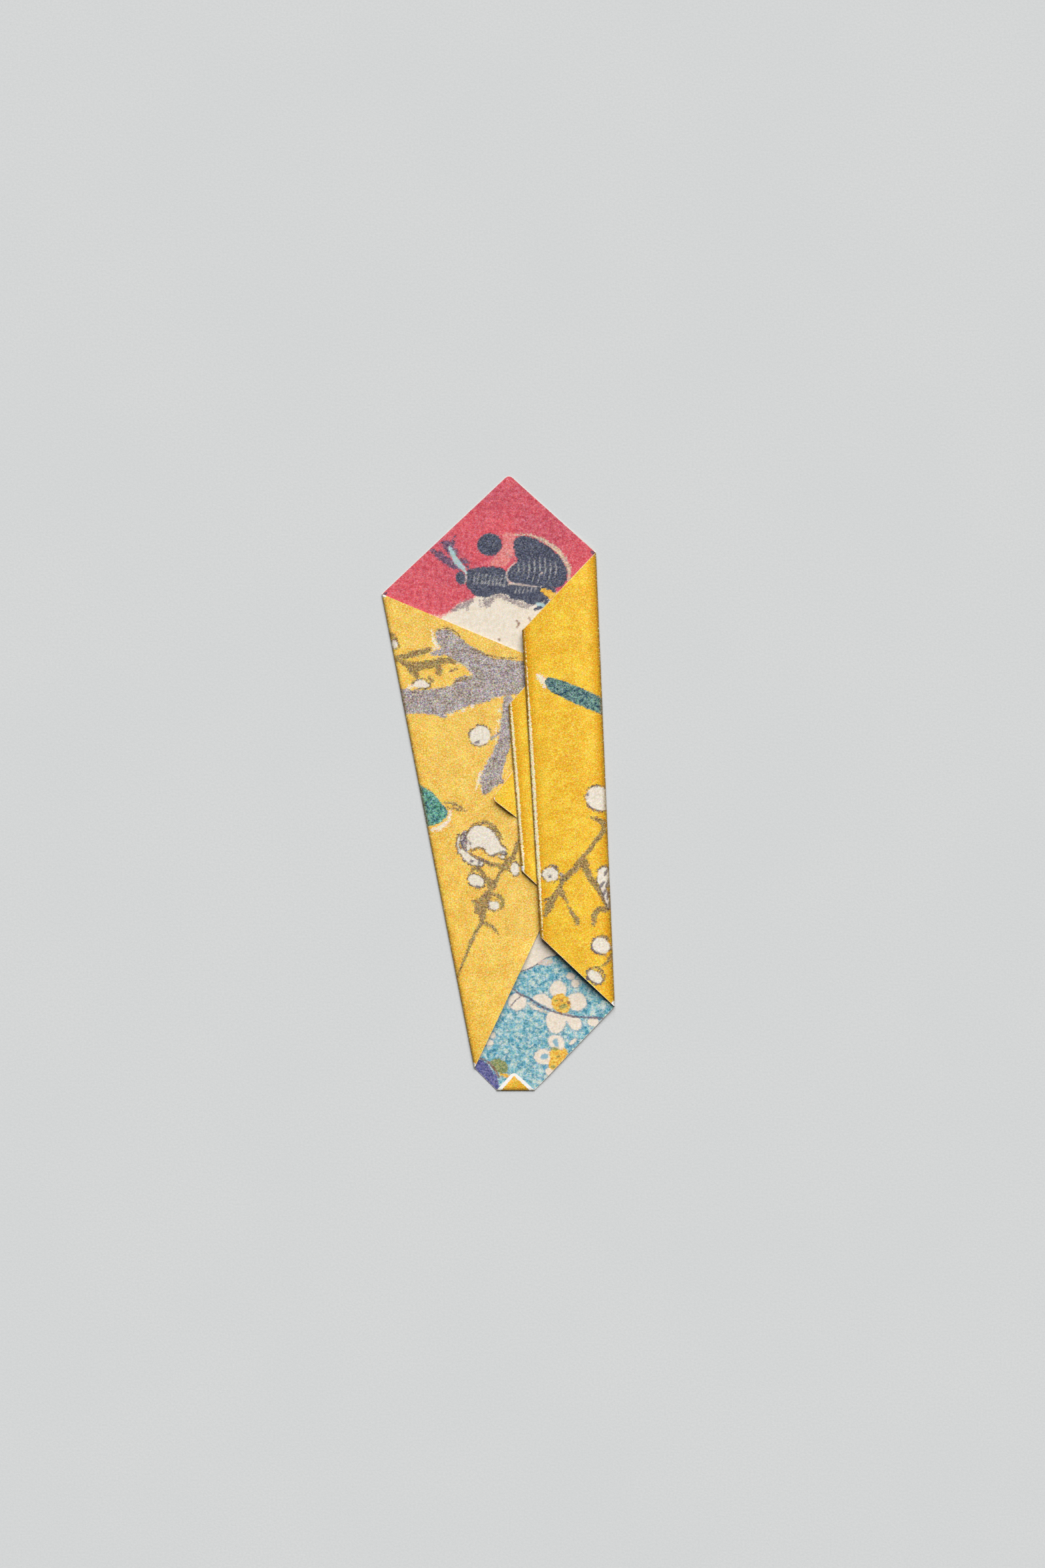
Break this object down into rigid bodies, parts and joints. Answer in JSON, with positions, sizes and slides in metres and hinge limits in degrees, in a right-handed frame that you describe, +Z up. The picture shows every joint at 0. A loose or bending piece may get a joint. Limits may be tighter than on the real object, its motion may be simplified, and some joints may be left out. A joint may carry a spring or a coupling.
{
  "type": "folded paper sleeve",
  "caption": "Flat pointed paper sleeve folded from a square printed sheet, with overlapping side flaps, stepped pleats and a turned-up base corner that swing on their creases.",
  "frame": {"origin": "middle of the sleeve's underside box, on the surface that it lies on", "axes": "+Y towards the pointed end, +Z up from the surface, +X towards the right flap's crease"},
  "size_m": [0.0766, 0.2028, 0.0023],
  "materials": {
    "outside_print": "matt printed paper",
    "inside_print": "matt printed paper"
  },
  "bodies": {
    "back_panel": {"back_panel": "inside_print"},
    "base_tip": {"base_tip": "outside_print"},
    "left_flap_return": {"left_flap_return": "outside_print"},
    "left_flap": {"left_flap": "outside_print"},
    "pleat_2_tip": {"pleat_2_tip": "outside_print"},
    "pleat_2_return": {"pleat_2_return": "outside_print"},
    "pleat_1_strip": {"pleat_1_strip": "outside_print"},
    "pleat_1_return": {"pleat_1_return": "outside_print"},
    "right_flap": {"right_flap": "outside_print"}
  },
  "joints": [
    {"name": "right_fold", "type": "hinge", "parent": "back_panel", "child": "right_flap", "pos_m": [0.0352, 0.00095, 0.00118], "axis": [-0.0414, 0.9991, 0], "range_deg": [0, 174]},
    {"name": "base_fold", "type": "hinge", "parent": "back_panel", "child": "base_tip", "pos_m": [0.00575, -0.1014, 0.00028], "axis": [1, 0, 0], "range_deg": [0, 180]},
    {"name": "pleat_a_fold", "type": "hinge", "parent": "right_flap", "child": "pleat_1_return", "pos_m": [0.0109, -0.0004, 0.00208], "axis": [-0.0594, 0.9982, 0], "range_deg": [0, 87]},
    {"name": "pleat_b_fold", "type": "hinge", "parent": "pleat_1_return", "child": "pleat_1_strip", "pos_m": [0.0196, -0.00005, 0.00178], "axis": [0.0431, -0.9991, 0], "range_deg": [0, 87]},
    {"name": "pleat_c_fold", "type": "hinge", "parent": "pleat_1_strip", "child": "pleat_2_return", "pos_m": [0.00555, -0.00175, 0.00147], "axis": [-0.0787, 0.9969, 0], "range_deg": [0, 87]},
    {"name": "pleat_d_fold", "type": "hinge", "parent": "pleat_2_return", "child": "pleat_2_tip", "pos_m": [0.01495, -0.00125, 0.00118], "axis": [0.0366, -0.9993, 0], "range_deg": [0, 87]},
    {"name": "left_fold", "type": "hinge", "parent": "back_panel", "child": "left_flap", "pos_m": [-0.02305, -0.01605, 0.00042], "axis": [0.1918, -0.9814, 0], "range_deg": [0, 43.5]},
    {"name": "turn_fold", "type": "hinge", "parent": "left_flap", "child": "left_flap_return", "pos_m": [0.0175, -0.00095, 0.00057], "axis": [0, -1, 0], "range_deg": [0, 14.5]}
  ],
  "couplings": [
    {"joint": "pleat_a_fold", "follows": "right_fold", "ratio": 0.5},
    {"joint": "pleat_b_fold", "follows": "right_fold", "ratio": 0.5},
    {"joint": "pleat_c_fold", "follows": "right_fold", "ratio": 0.5},
    {"joint": "pleat_d_fold", "follows": "right_fold", "ratio": 0.5},
    {"joint": "left_fold", "follows": "right_fold", "ratio": 0.25},
    {"joint": "turn_fold", "follows": "right_fold", "ratio": 0.083333}
  ]
}
